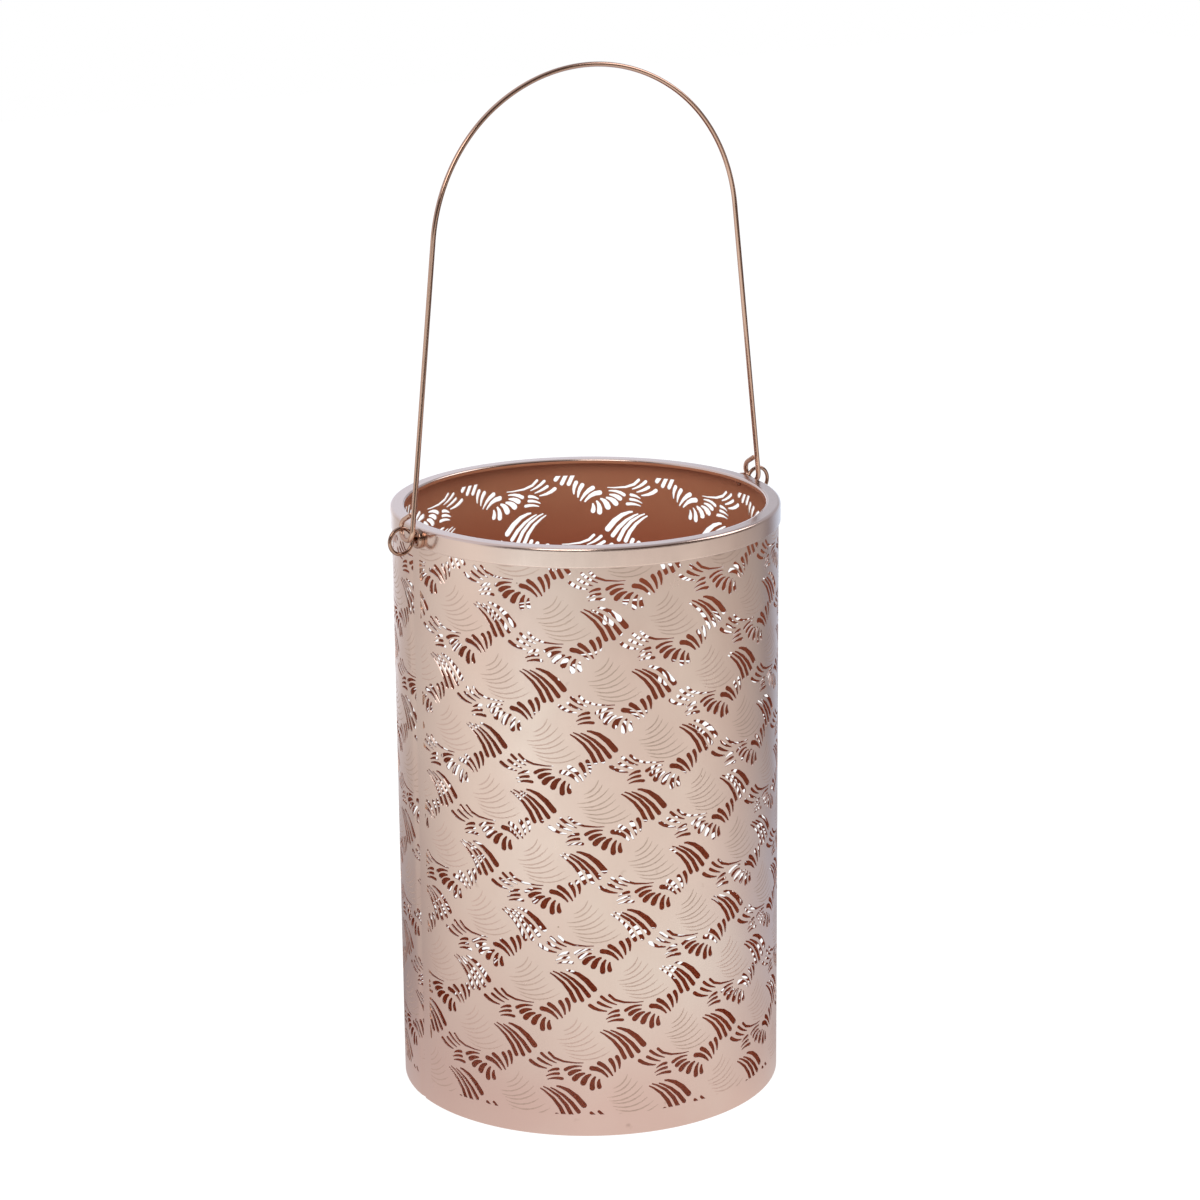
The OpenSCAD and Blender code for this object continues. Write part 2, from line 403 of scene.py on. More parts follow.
def stroke_outline(stroke):
    """Outline of a teardrop cut round a spine through three points."""
    tail, middle, head, width = stroke
    tail, middle, head = Vector(tail), Vector(middle), Vector(head)
    bend = 2 * middle - (tail + head) / 2
    length = (middle - tail).length + (head - middle).length
    round_r = width / 2

    def spine(share):
        point = tail * (1 - share) ** 2 + bend * 2 * share * (1 - share) + head * share ** 2
        run = (bend - tail) * (1 - share) + (head - bend) * share
        return point, Vector((-run.y, run.x)).normalized()

    full = 1 - round_r / length
    left, right = [], []
    for share, half in STROKE_SHARES:
        point, side = spine(share * full)
        left.append(point + side * half * round_r)
        right.append(point - side * half * round_r)
    point, side = spine(full)
    ahead = Vector((side.y, -side.x))
    for turn in (45, 90, 135):
        reach = side * cos(radians(turn)) + ahead * sin(radians(turn))
        left.append(point + reach * round_r)
    tip, side = spine(0)
    return [tip + side * TAIL_SHARE * round_r, *left, *reversed(right),
            tip - side * TAIL_SHARE * round_r]


def fan_tips(sizes, pitch, rows):
    """Place along the sheet and height of each fan's tip, row by row, in metres."""
    for row in range(-1, rows + 1):
        for fan in range(-2, sizes.fans + 2):
            shift = (sizes.first_fan + row * sizes.row_shift) % 1
            yield (fan + shift) * pitch, sizes.first_tip - row * sizes.row_height


class Sheet:
    """The rolled sheet laid out flat: u runs round the body from the lap's outer edge."""

    def __init__(self, sizes):
        low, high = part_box("sleeve")
        self.radius = (high.x - low.x) / 2
        self.top = high.z
        self.sizes = sizes
        self.turn = tau * self.radius
        self.length = self.turn + sizes.seam_w
        # The sheet dips by its own thickness and a little air
        air_share = 0.15
        self.dip = sizes.sheet_t * (1 + air_share)
        self.field_start = sizes.seam_w * sizes.seam_plain
        self.field_end = self.field_start + self.turn - sizes.seam_w
        self.pitch = (self.turn - sizes.seam_w) / sizes.fans

    def bend(self, u, z, depth):
        """Point of the rolled sheet at a place along it, a height and a depth under its face."""
        into_lap = (u - (self.turn - self.sizes.seam_dip_w)) / self.sizes.seam_dip_w
        share = min(max(into_lap, 0), 1)
        dip = share * share * (3 - 2 * share) * self.dip
        radius = self.radius - dip - depth
        angle = self.sizes.seam_angle + u / self.radius
        return Vector((radius * cos(angle), radius * sin(angle), z))

    def normal(self, u):
        """Outward normal of the rolled sheet, which tilts where the sheet dips."""
        reach = 0.01 * MM
        run = self.bend(u + reach, 0, 0) - self.bend(u - reach, 0, 0)
        return run.cross(Vector((0, 0, 1))).normalized()

    def pin_holes(self):
        """Round holes for the two pins' shanks."""
        sizes = self.sizes
        radius = sizes.shank_d / 2 + sizes.hole_gap
        low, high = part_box("eye_pin_right")
        height = (low.z + high.z) / 2
        corners = 12
        turns = [tau * corner / corners for corner in range(corners)]
        for angle in (pi, tau):
            u = (angle - sizes.seam_angle) * self.radius
            yield [Vector((u + radius * cos(turn), height + radius * sin(turn))) for turn in turns]

    def strokes(self):
        """Outlines of every cut, clipped to the pierced field."""
        rows = ceil(self.top / self.sizes.row_height)
        outlines = [stroke_outline(stroke) for stroke in FAN_STROKES]
        for tip_u, tip_z in fan_tips(self.sizes, self.pitch, rows):
            for outline in outlines:
                places = [Vector((self.field_start + tip_u + x * MM, tip_z + z * MM))
                          for x, z in outline]
                for axis, limit, keep in self.limits():
                    places = cut_back(places, axis, limit, keep)
                places = without_repeats(places)
                if len(places) < 4 or abs(outline_area(places)) < LEAST_CUT:
                    continue
                yield places if outline_area(places) > 0 else places[::-1]

    def limits(self):
        """Edges of the pierced field: axis, place and the side that is kept."""
        return (
            (0, self.field_start, 1),
            (0, self.field_end, -1),
            (1, self.sizes.plain_low, 1),
            (1, self.sizes.pattern_top, -1))


def cut_back(places, axis, limit, keep):
    """The part of an outline on the kept side of a straight edge."""
    kept = []
    for here, there in zip(places, places[1:] + places[:1]):
        before, after = (here[axis] - limit) * keep, (there[axis] - limit) * keep
        if before >= 0:
            kept.append(here)
        if before * after < 0:
            kept.append(here.lerp(there, before / (before - after)))
    return kept


def without_repeats(places):
    kept = []
    for place in places:
        if not kept or (place - kept[-1]).length > LEAST_EDGE:
            kept.append(place)
    if len(kept) > 1 and (kept[0] - kept[-1]).length <= LEAST_EDGE:
        kept.pop()
    return kept


def outline_area(places):
    """Area of an outline, negative if it runs clockwise."""
    pairs = zip(places, places[1:] + places[:1])
    return sum(here.cross(there) for here, there in pairs) / 2


def pierced_sheet(sheet):
    """The flat sheet with its cuts left open: u along X, height along Z, face towards -Y."""
    sizes = sheet.sizes
    corners = ((0, 0), (sheet.length, 0), (sheet.length, sheet.top), (0, sheet.top))
    places = [Vector(corner) for corner in corners]
    outlines = [list(range(len(corners)))]
    for cut in [*sheet.strokes(), *sheet.pin_holes()]:
        outlines.append(list(range(len(places), len(places) + len(cut))))
        places.extend(cut)
    lines = []
    step = sheet.turn / sizes.columns
    for column in range(1, ceil(sheet.length / step)):
        lines.append((len(places), len(places) + 1))
        places.extend((Vector((column * step, 0)), Vector((column * step, sheet.top))))
    inside = 1
    points, _, triangles, _, _, owners = delaunay_2d_cdt(
        places, lines, outlines, inside, WELD, True)
    bm = bmesh.new()
    verts = [bm.verts.new((point.x, 0, point.y)) for point in points]
    for triangle, owner in zip(triangles, owners):
        if len(owner) == 1:
            bm.faces.new([verts[index] for index in triangle])
    bmesh.ops.delete(bm, geom=[v for v in bm.verts if not v.link_faces], context="VERTS")
    return bm


def thicken(bm, depth):
    """Gives a flat sheet its thickness along +Y, with the new back in material slot 1."""
    made = bmesh.ops.extrude_face_region(bm, geom=bm.faces[:], use_keep_orig=True)
    back = [item for item in made["geom"] if isinstance(item, bmesh.types.BMVert)]
    bmesh.ops.translate(bm, vec=(0, depth, 0), verts=back)
    bmesh.ops.recalc_face_normals(bm, faces=bm.faces[:])
    for face in bm.faces:
        if face.normal.y > 0.5:
            face.material_index = 1


def roll(piece, sheet):
    """Bends a flat mesh round the body and gives its two faces the round sheet's normals."""
    mesh = piece.data
    flat = [vert.co.copy() for vert in mesh.vertices]
    facing = [face.normal.y for face in mesh.polygons]
    outward = [sheet.normal(place.x) for place in flat]
    for vert, (u, depth, z) in zip(mesh.vertices, flat):
        vert.co = sheet.bend(u, z, depth)
    mesh.update()
    normals = []
    for face, toward in zip(mesh.polygons, facing):
        face.use_smooth = True
        own = face.normal.copy()
        for index in face.vertices:
            normals.append(outward[index] * -toward if abs(toward) > 0.5 else own)
    mesh.normals_split_custom_set(normals)


def extrude_along(bm, section, frames):
    """Skin of a closed section that is carried from frame to frame, capped at both ends."""
    made = bmesh.ops.create_circle(bm, cap_ends=True, segments=len(section), radius=1)
    for vert, corner in zip(made["verts"], section):
        vert.co = frames[0] @ Vector(corner)
    cap = made["verts"][0].link_faces[0]
    for last, ahead in zip(frames, frames[1:]):
        made = bmesh.ops.extrude_face_region(bm, geom=[cap])
        verts = [item for item in made["geom"] if isinstance(item, bmesh.types.BMVert)]
        cap = next(item for item in made["geom"] if isinstance(item, bmesh.types.BMFace))
        bmesh.ops.transform(bm, matrix=ahead @ last.inverted(), verts=verts)


def etched_fan(sizes):
    """One fan of fine lines, flat: u along X, height along Z, relief towards -Y."""
    bm = bmesh.new()
    half, relief = sizes.etched_w / 2, sizes.etched_h
    flat = half / 2
    section = ((-half, relief, 0), (-flat, -relief, 0), (flat, -relief, 0), (half, relief, 0))
    stations, sag_share, end_share = 6, 0.14, 0.3
    for left, right in ETCHED_LINES:
        start = Vector(left) * MM
        chord = Vector(right) * MM - start
        down = Vector((chord.y, -chord.x)) * sag_share
        frames = []
        for station in range(stations + 1):
            along = station / stations
            point = start + chord * along + down * 4 * along * (1 - along)
            run = (chord + down * 4 * (1 - 2 * along)).normalized()
            thin = end_share + (1 - end_share) * (4 * along * (1 - along)) ** 0.5
            frames.append(Matrix((
                (-run.y * thin, 0, run.x, point.x),
                (0, thin, 0, 0),
                (run.x * thin, 0, run.y, point.y),
                (0, 0, 0, 1))))
        extrude_along(bm, section, frames)
    return bm


def etched_field(sheet):
    """Every fan's fine lines, flat, cut off at the edges of the pierced field."""
    sizes = sheet.sizes
    fan = bpy.data.meshes.new("fan")
    made = etched_fan(sizes)
    made.to_mesh(fan)
    made.free()
    field = bmesh.new()
    for tip_u, tip_z in fan_tips(sizes, sheet.pitch, ceil(sheet.top / sizes.row_height)):
        before = len(field.verts)
        field.from_mesh(fan)
        field.verts.ensure_lookup_table()
        place = (sheet.field_start + tip_u, 0, tip_z)
        bmesh.ops.translate(field, vec=place, verts=field.verts[before:])
    bpy.data.meshes.remove(fan)
    for axis, limit, keep in sheet.limits():
        edge = Vector((limit, 0, 0)) if axis == 0 else Vector((0, 0, limit))
        outward = Vector((-keep, 0, 0)) if axis == 0 else Vector((0, 0, -keep))
        everything = field.verts[:] + field.edges[:] + field.faces[:]
        cut = bmesh.ops.bisect_plane(
            field, geom=everything, dist=WELD, plane_co=edge, plane_no=outward,
            clear_outer=True)
        open_edges = [item for item in cut["geom_cut"] if isinstance(item, bmesh.types.BMEdge)]
        bmesh.ops.holes_fill(field, edges=open_edges)
    return field


def turned(profile, steps=144, rounds=()):
    """Solid turned round Z from (radius, height) corners, some of them rounded first."""
    bm = bmesh.new()
    corners = [bm.verts.new((radius, 0, height)) for radius, height in profile]
    bm.faces.new(corners)
    for radius, indexes in rounds:
        bmesh.ops.bevel(
            bm, geom=[corners[index] for index in indexes], offset=radius,
            offset_type="OFFSET", segments=5, profile=0.5, affect="VERTICES", material=-1)
    bmesh.ops.delete(bm, geom=bm.faces[:], context="FACES_ONLY")
    on_axis = [edge for edge in bm.edges if all(abs(v.co.x) < WELD for v in edge.verts)]
    bmesh.ops.delete(bm, geom=on_axis, context="EDGES")
    bmesh.ops.spin(
        bm, geom=bm.verts[:] + bm.edges[:], cent=(0, 0, 0), axis=(0, 0, 1), angle=tau,
        steps=steps, use_merge=True, use_duplicate=False)
    bmesh.ops.remove_doubles(bm, verts=bm.verts[:], dist=2 * WELD)
    bmesh.ops.recalc_face_normals(bm, faces=bm.faces[:])
    return bm


def circle_section(bm, radius, matrix, segments=20):
    """Edges of a circle in the matrix's XY plane."""
    made = bmesh.ops.create_circle(bm, segments=segments, radius=radius, matrix=matrix)
    return list({edge for vert in made["verts"] for edge in vert.link_edges})


def sweep_straight(bm, edges, run):
    """Carries a loop of edges along a straight run and returns it at the far end."""
    made = bmesh.ops.extrude_edge_only(bm, edges=edges)
    verts = [item for item in made["geom"] if isinstance(item, bmesh.types.BMVert)]
    bmesh.ops.translate(bm, vec=run, verts=verts)
    ends = set(verts)
    return [item for item in made["geom"]
            if isinstance(item, bmesh.types.BMEdge) and ends.issuperset(item.verts)]


def sweep_round(bm, edges, centre, axis, angle, steps):
    """Carries a loop of edges round an axis and returns it at the far end."""
    made = bmesh.ops.spin(
        bm, geom=edges, cent=centre, axis=axis, angle=angle, steps=steps, use_merge=False)
    return [item for item in made["geom_last"] if isinstance(item, bmesh.types.BMEdge)]


def ring_pin(sizes):
    """The right-hand pin: ring, shank through the wall and domed tail inside it."""
    low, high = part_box("eye_pin_right")
    ring_r = (EYE_RING_D - sizes.eye_wire_d) / 2
    centre = Vector((high.x - EYE_RING_D / 2, 0, (low.z + high.z) / 2))
    bm = bmesh.new()
    at_ring = Matrix.Translation(centre + Vector((ring_r, 0, 0)))
    edges = circle_section(bm, sizes.eye_wire_d / 2, at_ring, segments=16)
    bmesh.ops.spin(
        bm, geom=edges, cent=centre, axis=(0, 1, 0), angle=tau, steps=48, use_merge=True)
    inner, shank_end = low.x, centre.x - ring_r
    shank_r, tail_r, tail_end = sizes.shank_d / 2, sizes.tail_d / 2, inner + sizes.tail_t
    profile = (
        (0, inner), (tail_r, inner), (tail_r, tail_end), (shank_r, tail_end),
        (shank_r, shank_end), (0, shank_end))
    shank = turned(profile, steps=20, rounds=((sizes.tail_round, (1,)),))
    bmesh.ops.rotate(
        shank, cent=(0, 0, 0), matrix=Matrix.Rotation(pi / 2, 3, "Y"), verts=shank.verts[:])
    bmesh.ops.translate(shank, vec=(0, 0, centre.z), verts=shank.verts[:])
    add_mesh(bm, shank)
    bmesh.ops.recalc_face_normals(bm, faces=bm.faces[:])
    return bm


def add_mesh(bm, other):
    """Adds another bmesh's faces and frees it."""
    mesh = bpy.data.meshes.new("part")
    other.to_mesh(mesh)
    other.free()
    bm.from_mesh(mesh)
    bpy.data.meshes.remove(mesh)


def cup(sizes):
    """The right-hand cup washer, with its flat face on the rim's band."""
    low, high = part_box("cup_washer_right")
    height, radius = high.x - low.x, (high.z - low.z) / 2
    hole_r = sizes.shank_d / 2 + sizes.hole_gap
    crest, web_t = radius - height, sizes.cup_web_t
    profile = (
        (hole_r, 0), (radius, 0), (radius, height), (crest, height),
        (crest - sizes.cup_slope, web_t), (hole_r, web_t))
    # The two roundings of the crest nearly meet
    crest_round = 0.49 * height
    bm = turned(profile, steps=48, rounds=((crest_round, (2, 3)),))
    bmesh.ops.rotate(bm, cent=(0, 0, 0), matrix=Matrix.Rotation(pi / 2, 3, "Y"), verts=bm.verts[:])
    bmesh.ops.translate(bm, vec=(low.x, 0, (low.z + high.z) / 2), verts=bm.verts[:])
    return bm


def wire_handle(sizes):
    """Bent wire: an arch, two legs, and a loop through each ring that curls back to its leg."""
    pin_low, pin_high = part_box("eye_pin_right")
    wire_r = sizes.handle_wire_d / 2
    ring_r = (EYE_RING_D - sizes.eye_wire_d) / 2
    above_pin = SWING.z - (pin_low.z + pin_high.z) / 2
    loop_x = pin_high.x - EYE_RING_D / 2 - (ring_r ** 2 - above_pin ** 2) ** 0.5
    rise = frame_top("handle") - wire_r - SWING.z
    lean, loop_r = sizes.leg_lean, sizes.loop_r
    crown_r, crown_turn = sizes.crown_r, sizes.crown_turn
    # The shoulder's radius is the one that brings the leg down on the loop
    crown_x, crown_drop = crown_r * sin(crown_turn), crown_r * (1 - cos(crown_turn))
    spare = (loop_x - crown_x) * cos(lean) - (rise - crown_drop) * sin(lean)
    shoulder_r = spare / (1 - sin(crown_turn + lean))
    leg_l = (rise - crown_drop - shoulder_r * (cos(crown_turn) - sin(lean))) / cos(lean)
    centre = Vector((0, -loop_r, SWING.z + rise - crown_r))
    outward = Vector((sin(crown_turn), 0, cos(crown_turn)))
    shoulder = centre + outward * (crown_r - shoulder_r)
    down = Vector((sin(lean), 0, -cos(lean)))
    bm = bmesh.new()
    crown = Matrix.Translation(centre + Vector((0, 0, crown_r))) @ Matrix.Rotation(pi / 2, 4, "Y")
    edges = circle_section(bm, wire_r, crown)
    edges = sweep_round(bm, edges, centre, (0, 1, 0), crown_turn, steps=20)
    edges = sweep_round(bm, edges, shoulder, (0, 1, 0), pi / 2 - lean - crown_turn, steps=32)
    edges = sweep_straight(bm, edges, down * leg_l)
    foot = shoulder + Vector((cos(lean), 0, sin(lean))) * shoulder_r + down * leg_l
    loop_at = foot + Vector((0, loop_r, 0))
    across = down.cross(Vector((0, 1, 0)))
    curl = sizes.curl_angle
    edges = sweep_round(bm, edges, loop_at, across, pi + curl, steps=36)
    curl_l = (loop_r * (1 + cos(curl)) - sizes.handle_wire_d) / sin(curl)
    end = Vector((0, -sin(curl), 0)) - down * cos(curl)
    edges = sweep_straight(bm, edges, end * (curl_l - sizes.curl_gap))
    bmesh.ops.edgeloop_fill(bm, edges=edges)
    end_round = 0.35 * wire_r
    bmesh.ops.bevel(
        bm, geom=edges, offset=end_round, offset_type="OFFSET", segments=3, profile=0.5,
        affect="EDGES", material=-1)
    bmesh.ops.mirror(
        bm, geom=bm.verts[:] + bm.edges[:] + bm.faces[:], matrix=Matrix(), merge_dist=WELD,
        axis="X")
    bmesh.ops.recalc_face_normals(bm, faces=bm.faces[:])
    return bm


def flipped(bm):
    """The same piece on the other side of the body."""
    bmesh.ops.scale(bm, vec=(-1, 1, 1), verts=bm.verts[:])
    bmesh.ops.reverse_faces(bm, faces=bm.faces[:])
    return bm


def clear_shown(*names):
    """Removes pieces that an operator made before."""
    for name in names:
        old = bpy.data.objects.get(name)
        if old:
            bpy.data.objects.remove(old)


class LANTERN_OT_body(bpy.types.Operator):
    """Build the pierced body with its etched lines"""
    bl_idname = "lantern.body"
    bl_label = "Pierced body"

    def execute(self, context):
        sizes, finish = context.scene.lantern_sizes, context.scene.lantern_finish
        clear_shown("body_sheet", "etched_lines")
        outside = plated(
            "satin_rose", finish.rose, finish.cream, roughness=0.30, stain=finish.stain)
        inside = matt_copper("matt_copper", finish)
        sheet = Sheet(sizes)
        flat = pierced_sheet(sheet)
        thicken(flat, sizes.sheet_t)
        piece = make_piece("body_sheet", flat, (outside, inside), "sheet", "sleeve")
        roll(piece, sheet)
        duller = plated("etched_metal", finish.etched, finish.rose, roughness=0.56)
        lines = make_piece("etched_lines", etched_field(sheet), (duller,), "sheet")
        for vert in lines.data.vertices:
            u, depth, z = vert.co
            vert.co = sheet.bend(u, z, depth)
        return {"FINISHED"}


class LANTERN_OT_rim(bpy.types.Operator):
    """Build the rim round the mouth"""
    bl_idname = "lantern.rim"
    bl_label = "Rim"

    def execute(self, context):
        sizes, finish = context.scene.lantern_sizes, context.scene.lantern_finish
        clear_shown("rim_ring")
        low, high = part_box("rim_collar")
        body_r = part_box("sleeve")[1].x
        outer, inner = high.x, high.x - sizes.rim_w
        under = high.z - sizes.rim_t
        small_r = 0.3 * sizes.rim_t
        # Corners beside each rounding keep its normals off the flat faces
        beside = sizes.rim_round + small_r
        profile = (
            (body_r, low.z), (outer, low.z), (outer, low.z + 2 * small_r), (outer, high.z - beside),
            (outer, high.z), (outer - beside, high.z), (inner + beside, high.z), (inner, high.z),
            (inner, under - sizes.lip_h), (inner + sizes.rim_t, under - sizes.lip_h),
            (inner + sizes.rim_t, under), (body_r, under))
        rounds = ((sizes.rim_round, (4,)), (sizes.rim_t, (7,)), (small_r, (1, 8, 9)))
        bm = turned(profile, steps=192, rounds=rounds)
        lip_r = inner + 1.1 * sizes.rim_t
        for face in bm.faces:
            if face.calc_center_median().xy.length < lip_r and face.normal.z < 0.1:
                face.material_index = 1
        outside = plated("rim_plating", finish.rim, finish.rim, roughness=0.18)
        inside = matt_copper("lip_copper", finish)
        shade_round(make_piece("rim_ring", bm, (outside, inside), "rim", "rim_collar"))
        return {"FINISHED"}


class LANTERN_OT_pan(bpy.types.Operator):
    """Build the base pan"""
    bl_idname = "lantern.pan"
    bl_label = "Base pan"

    def execute(self, context):
        sizes, finish = context.scene.lantern_sizes, context.scene.lantern_finish
        clear_shown("floor_pan")
        low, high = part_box("base_pan")
        radius, floor_z = high.x, low.z
        profile = (
            (0, floor_z), (radius, floor_z), (radius, high.z), (radius - sizes.pan_t, high.z),
            (radius - sizes.pan_t, floor_z + sizes.pan_t), (0, floor_z + sizes.pan_t))
        rounds = ((sizes.pan_t, (1,)), (sizes.pan_round, (2, 3)))
        bm = turned(profile, rounds=rounds)
        material = matt_copper("pan_copper", finish)
        shade_round(make_piece("floor_pan", bm, (material,), "pan", "base_pan"))
        return {"FINISHED"}


class LANTERN_OT_fittings(bpy.types.Operator):
    """Build the ring pins and their cup washers"""
    bl_idname = "lantern.fittings"
    bl_label = "Ring pins and washers"

    def execute(self, context):
        sizes, finish = context.scene.lantern_sizes, context.scene.lantern_finish
        wire = plated("pin_wire", finish.fittings, finish.fittings, roughness=0.14)
        pressed = plated("washer_plating", finish.fittings, finish.wire, roughness=0.16)
        for side, sign in SIDES.items():
            clear_shown("ring_" + side, "cup_" + side)
            pin, washer = ring_pin(sizes), cup(sizes)
            if sign < 0:
                pin, washer = flipped(pin), flipped(washer)
            shade_round(make_piece("ring_" + side, pin, (wire,), "pins", "eye_pin_" + side))
            shade_round(make_piece(
                "cup_" + side, washer, (pressed,), "washers", "cup_washer_" + side))
        return {"FINISHED"}


class LANTERN_OT_handle(bpy.types.Operator):
    """Build the wire handle"""
    bl_idname = "lantern.handle"
    bl_label = "Handle"

    def execute(self, context):
        sizes, finish = context.scene.lantern_sizes, context.scene.lantern_finish
        clear_shown("wire_handle")
        wire = plated("handle_wire", finish.wire, finish.wire, roughness=0.14)
        shade_round(make_piece(
            "wire_handle", wire_handle(sizes), (wire,), "handle", "handle", body="handle"))
        return {"FINISHED"}


# What the metal sees far off, near it and at its foot: 0 is behind the body, reached by the
# left, 0.5 is the camera's side, and 1 is behind again, reached by the right
FAR_TINTS = (
    (0.00, (1.06, 1.26, 1.52)),
    (0.05, (1.22, 1.34, 1.50)),
    (0.10, (0.68, 0.68, 0.71)),
    (0.15, (0.60, 0.60, 0.60)),
    (0.22, (0.74, 0.75, 0.76)),
    (0.33, (0.98, 1.01, 1.01)),
    (0.405, (1.22, 1.36, 1.41)),
    (0.49, (1.08, 1.18, 1.20)),
    (0.57, (0.97, 1.00, 1.00)),
    (0.68, (0.93, 0.95, 0.94)),
    (0.76, (0.68, 0.67, 0.66)),
    (0.835, (0.44, 0.44, 0.46)),
    (0.865, (0.27, 0.25, 0.27)),
    (0.90, (0.48, 0.55, 0.68)),
    (1.00, (1.06, 1.26, 1.52)))
NEAR_TINTS = (
    (0.00, (0.52, 0.52, 0.58)),
    (0.17, (0.40, 0.38, 0.41)),
    (0.23, (0.56, 0.54, 0.55)),
    (0.29, (0.78, 0.78, 0.79)),
    (0.41, (0.84, 0.87, 0.88)),
    (0.50, (0.94, 1.02, 1.03)),
    (0.60, (0.99, 1.12, 1.15)),
    (0.67, (0.96, 1.07, 1.12)),
    (0.72, (0.83, 0.89, 0.94)),
    (0.78, (0.64, 0.69, 0.78)),
    (0.85, (0.54, 0.60, 0.73)),
    (1.00, (0.52, 0.52, 0.58)))
FOOT_TINTS = (
    (0.00, (0.50, 0.46, 0.48)),
    (0.12, (0.24, 0.21, 0.23)),
    (0.25, (0.60, 0.54, 0.56)),
    (0.50, (0.85, 0.80, 0.82)),
    (0.65, (0.82, 0.79, 0.80)),
    (0.80, (0.58, 0.54, 0.56)),
    (1.00, (0.50, 0.46, 0.48)))
# The studio's dim side, and what stands high in the studio on the left and on the right
DIM_TINT = (0.06, 0.038, 0.03)
DIM_STRENGTH = 0.95
HIGH_TINT = (0.70, 0.75, 0.87)
HIGH_SHADE = (0.40, 0.42, 0.48)
# Light that falls on matt faces from the camera's side and from behind
FRONT_TINT = (1.02, 1.00, 1.00)
BACK_TINT = (0.25, 0.23, 0.25)


def studio_tint(shader, facing, aside, tints):
    """Colour that stands in a direction round the body."""
    turn = aside.math("ARCTAN2", facing) / tau + 0.5
    return shader.node("ShaderNodeValToRGB", {"stops": tints}, {0: turn})


def dim_share(facing, aside):
    """How far a level direction points into the studio's dim side, a little right of the camera."""
    heading = radians(30)
    return (facing * cos(heading) + aside * sin(heading)).smooth(-0.2, 0.3)


def bearings(shader, stage, point):
    """How far a point lies towards the camera, to the camera's right and up."""
    toward = Vector((sin(stage.azimuth), -cos(stage.azimuth), 0))
    right = Vector((cos(stage.azimuth), sin(stage.azimuth), 0))
    settings = {"operation": "DOT_PRODUCT"}
    return [shader.node("ShaderNodeVectorMath", settings, {0: point, 1: axis}, output="Value")
            for axis in (toward, right, Vector((0, 0, 1)))]


def sky(stage):
    """World: plain white to the camera, a soft studio to the metal."""
    world = bpy.data.worlds.new("studio")
    bpy.context.scene.world = world
    shader = Shader(world)
    point = shader.node("ShaderNodeTexCoord", output="Generated")
    facing, aside, up = bearings(shader, stage, point)
    round_it = studio_tint(shader, facing, aside, FAR_TINTS)
    high = shader.mix(aside.smooth(0.02, 0.06), HIGH_TINT, HIGH_SHADE)
    studio = shader.mix(up.smooth(0.02, 0.20) * 0.85, round_it, high)
    dim = dim_share(facing, aside) * up.smooth(-0.08, 0.06) * (1 - up.smooth(0.75, 0.95))
    studio = shader.mix(dim * DIM_STRENGTH, studio, DIM_TINT)
    path = shader.node("ShaderNodeLightPath", output="Is Camera Ray")
    glossy = Expr(shader, path.socket.node.outputs["Is Glossy Ray"])
    front = (facing - aside * 0.25).smooth(-0.4, 0.9)
    seen = shader.mix(glossy, shader.mix(front, BACK_TINT, FRONT_TINT), studio)
    seen = shader.mix(path, seen, (1, 1, 1))
    background = shader.node("ShaderNodeBackground", None, {"Color": seen})
    shader.output("ShaderNodeOutputWorld", background)


def pale_floor(stage):
    """Floor that looks white round the object's shadow, and glows with the studio's tints to glossy
    rays as a painted reflection for the metal.
    """
    bm = bmesh.new()
    bmesh.ops.create_grid(bm, x_segments=1, y_segments=1, size=stage.floor_reach)
    mesh = bpy.data.meshes.new("floor")
    bm.to_mesh(mesh)
    bm.free()
    floor_plane = bpy.data.objects.new("floor", mesh)
    bpy.context.scene.collection.objects.link(floor_plane)
    material = bpy.data.materials.new("pale_floor")
    mesh.materials.append(material)
    shader = Shader(material)
    path = shader.node("ShaderNodeLightPath", output="Is Camera Ray")
    glossy = Expr(shader, path.socket.node.outputs["Is Glossy Ray"])
    lit = shader.node("ShaderNodeBsdfDiffuse", None, {"Color": (0.9, 0.9, 0.9, 1)})
    white = shader.node(
        "ShaderNodeEmission", None, {"Color": (1, 1, 1, 1), "Strength": stage.floor_glow})
    point = shader.node("ShaderNodeTexCoord", output="Object")
    facing, aside, _ = bearings(shader, stage, point)
    reach = (facing * facing + aside * aside).math("SQRT")
    far, near, foot = [studio_tint(shader, facing, aside, tints)
                       for tints in (FAR_TINTS, NEAR_TINTS, FOOT_TINTS)]
    tint = shader.mix(1 - reach.smooth(200 * MM, 600 * MM), far, near)
    tint = shader.mix(1 - reach.smooth(100 * MM, 260 * MM), tint, foot)
    dim = dim_share(facing / reach, aside / reach) * reach.smooth(1000 * MM, 1400 * MM)
    tint = shader.mix(dim * DIM_STRENGTH, tint, DIM_TINT)
    # Painted reflection: the floor glows with these tints for glossy rays only
    painted_reflection_glow = shader.node("ShaderNodeEmission", None, {"Color": tint})
    mixed = shader.node(
        "ShaderNodeMixShader", None, {0: path * stage.floor_white, 1: lit, 2: white})
    mixed = shader.node("ShaderNodeMixShader", None, {0: glossy, 1: mixed, 2: painted_reflection_glow})
    shader.output("ShaderNodeOutputMaterial", mixed)


def soft_light(name, place, aim, size, power, tint):
    """Square softbox."""
    light = bpy.data.lights.new(name, "AREA")
    light.shape = "SQUARE"
    light.size = size
    light.energy = power
    light.color = tint
    lamp = bpy.data.objects.new(name, light)
    lamp.location = place
    lamp.rotation_euler = (aim - place).to_track_quat("-Z", "Y").to_euler()
    bpy.context.scene.collection.objects.link(lamp)


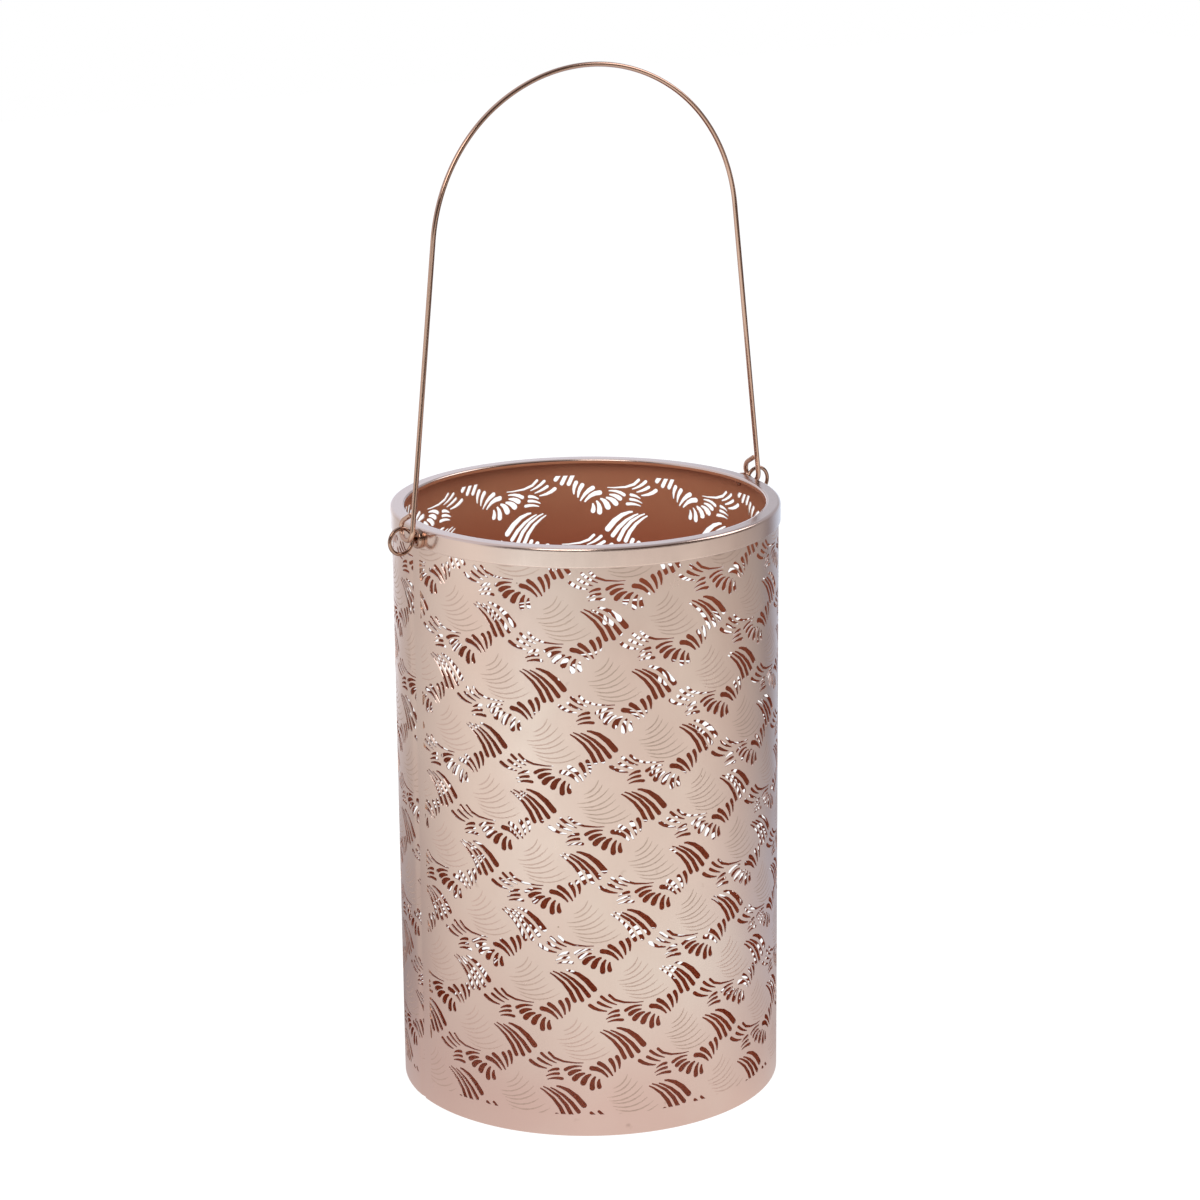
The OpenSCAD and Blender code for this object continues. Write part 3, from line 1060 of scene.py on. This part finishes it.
def photo_camera(stage):
    """Camera that stands where the photograph was taken."""
    data = bpy.data.cameras.new("camera")
    data.lens = stage.lens
    data.clip_start = 0.1
    data.clip_end = 20
    camera = bpy.data.objects.new("camera", data)
    aim = Vector((0, 0, stage.aim_height))
    reach = Vector((
        sin(stage.azimuth) * cos(stage.elevation), -cos(stage.azimuth) * cos(stage.elevation),
        sin(stage.elevation)))
    place = aim + reach * stage.distance
    turned_to = (aim - place).to_track_quat("-Z", "Y").to_matrix().to_4x4()
    camera.matrix_world = (
        Matrix.Translation(place) @ turned_to @ Matrix.Rotation(-stage.pan, 4, "Y")
        @ Matrix.Rotation(stage.tilt, 4, "X") @ Matrix.Rotation(stage.roll, 4, "Z"))
    bpy.context.scene.collection.objects.link(camera)
    bpy.context.scene.camera = camera


class LanternStage(bpy.types.PropertyGroup):
    """Studio round the lantern."""

    azimuth: angle_prop(
        "Camera azimuth", "Where the camera stands, from -Y towards +X", radians(-34.24))
    elevation: angle_prop("Camera elevation", "How high the camera stands", radians(18.38))
    distance: size_prop(
        "Camera distance", "Distance from the camera to its aim point", 1475.4 * MM)
    aim_height: size_prop(
        "Aim height", "Height of the aim point on the body's axis", 124.6 * MM)
    lens: number_prop("Lens", "Focal length on a 36 mm frame, in millimetres", 104.53)
    pan: angle_prop("Pan", "Turn to the right of the aim point", 0.00399)
    tilt: angle_prop("Tilt", "Turn up from the aim point", 0.0532)
    roll: angle_prop("Roll", "Roll of the camera", -0.01063)
    floor_reach: size_prop("Floor reach", "Distance from the body to the floor's edge", 3.0)
    floor_white: number_prop(
        "Floor white", "Share of plain white in the floor that the camera sees", 0.85)
    floor_glow: number_prop("Floor glow", "Brightness of that plain white", 1.14)


class LANTERN_OT_stage(bpy.types.Operator):
    """Set up the floor, the lights and the camera"""
    bl_idname = "lantern.stage"
    bl_label = "Studio"

    def execute(self, context):
        stage = context.scene.lantern_stage
        clear_shown("floor", "camera", "key", "fill")
        context.scene.view_settings.view_transform = "Standard"
        sky(stage)
        pale_floor(stage)
        photo_camera(stage)
        middle = Vector((0, 0, stage.aim_height))
        key_at, fill_at = Vector((-1.6, -1.4, 1.9)), Vector((1.5, -0.6, 1.4))
        soft_light("key", key_at, middle, size=1.4, power=18, tint=(1, 0.98, 0.95))
        soft_light("fill", fill_at, middle, size=1.2, power=10, tint=(0.97, 0.97, 1))
        return {"FINISHED"}


BUILDERS = (
    LANTERN_OT_body, LANTERN_OT_rim, LANTERN_OT_pan, LANTERN_OT_fittings, LANTERN_OT_handle,
    LANTERN_OT_stage)


class LANTERN_PT_panel(bpy.types.Panel):
    """Lantern tab in the 3D view's sidebar"""
    bl_idname = "LANTERN_PT_panel"
    bl_label = "Pierced candle lantern"
    bl_space_type = "VIEW_3D"
    bl_region_type = "UI"
    bl_category = "Lantern"

    def draw(self, context):
        for owner in ("lantern_sizes", "lantern_finish", "lantern_stage"):
            group = getattr(context.scene, owner)
            box = self.layout.box()
            for name in type(group).__annotations__:
                box.prop(group, name)
        for builder in BUILDERS:
            self.layout.operator(builder.bl_idname)


GROUPS = {
    "lantern_sizes": LanternSizes,
    "lantern_finish": LanternFinish,
    "lantern_stage": LanternStage,
}


def register():
    for name, group in GROUPS.items():
        bpy.utils.register_class(group)
        setattr(bpy.types.Scene, name, bpy.props.PointerProperty(type=group))
    for kind in (*BUILDERS, LANTERN_PT_panel):
        bpy.utils.register_class(kind)


def unregister():
    for kind in (LANTERN_PT_panel, *reversed(BUILDERS)):
        bpy.utils.unregister_class(kind)
    for name, group in reversed(GROUPS.items()):
        delattr(bpy.types.Scene, name)
        bpy.utils.unregister_class(group)


def main():
    register()
    bpy.ops.lantern.body()
    bpy.ops.lantern.rim()
    bpy.ops.lantern.pan()
    bpy.ops.lantern.fittings()
    bpy.ops.lantern.handle()
    bpy.ops.lantern.stage()


if __name__ == "__main__":
    main()
